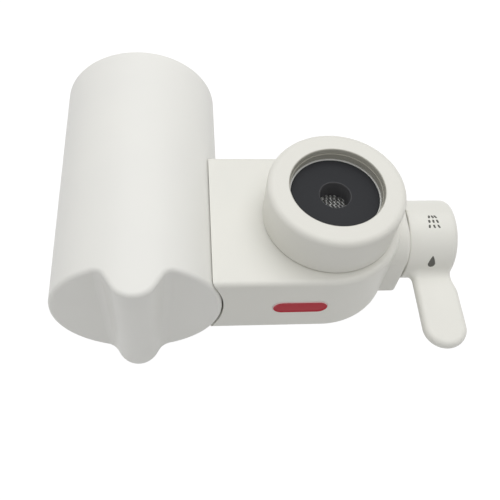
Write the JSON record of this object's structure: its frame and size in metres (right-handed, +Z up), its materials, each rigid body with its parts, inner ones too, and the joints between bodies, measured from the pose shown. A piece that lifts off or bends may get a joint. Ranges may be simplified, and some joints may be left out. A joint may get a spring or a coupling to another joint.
{
  "type": "faucet mount water filter",
  "caption": "White moulded water filter that clamps under a tap spout: a block with a collar nut, a valve lever on the right and a round filter cartridge with a grip ridge on the left.",
  "frame": {"origin": "on the inlet axis, at the lower end of the collar nut's inner wall", "axes": "+Z up along the inlet, the way the tap spout leaves; +X to the lever; -Y to the front, where the badge and the grip ridge are"},
  "size_m": [0.1382, 0.1064, 0.059],
  "materials": {
    "shell_white": "satin moulded ABS",
    "cartridge_white": "satin moulded ABS",
    "inner_plastic": "plain moulded acetal",
    "spool_plastic": "plain moulded acetal",
    "black_rubber": "matt",
    "steel": "plain stainless",
    "spray_grey": "moulded grey",
    "badge_red": "gloss red with a paler rim",
    "carbon": "pressed carbon, matt",
    "fleece": "non-woven",
    "fibres": "hollow fibres",
    "resin": "cast resin"
  },
  "bodies": {
    "housing": {"main_housing": "shell_white", "base_cover": "shell_white", "outlet_nozzle": "shell_white", "filtered_spout": "shell_white", "valve_body": "inner_plastic", "port_manifold": "inner_plastic", "strainer_ring": "inner_plastic", "inlet_gasket": "black_rubber", "outlet_seal": "black_rubber", "manifold_gasket": "black_rubber", "port_seal_raw": "black_rubber", "port_seal_filtered": "black_rubber", "strainer_mesh": "steel", "housing_screws": "steel", "spray_plate": "spray_grey", "badge": "badge_red"},
    "collar": {"collar_nut": "shell_white"},
    "lever": {"lever": "shell_white", "valve_spool": "spool_plastic", "spool_seal_left": "black_rubber", "spool_seal_middle": "black_rubber", "spool_seal_right": "black_rubber", "retaining_clip": "steel", "lever_screw": "steel", "lever_cap": "shell_white"},
    "cartridge": {"cartridge_case": "cartridge_white", "case_back_cap": "cartridge_white", "back_cap_seal": "black_rubber", "carbon_end_plate": "inner_plastic", "carbon_sleeve": "carbon", "fleece_wrap": "fleece", "filter_cage": "inner_plastic", "fibre_bundle": "fibres", "potting_disc": "resin", "potting_seal": "black_rubber"}
  },
  "joints": [
    {"name": "collar_turn", "type": "hinge", "parent": "housing", "child": "collar", "pos_m": [0, 0, 0], "axis": [0, 0, 1], "continuous": true},
    {"name": "lever_turn", "type": "hinge", "parent": "housing", "child": "lever", "pos_m": [0.03637, 0, -0.02675], "axis": [1, 0, 0], "range_deg": [0, 60]},
    {"name": "cartridge_turn", "type": "hinge", "parent": "housing", "child": "cartridge", "pos_m": [-0.06469, 0, -0.02675], "axis": [0, 1, 0], "range_deg": [0, 90]}
  ]
}
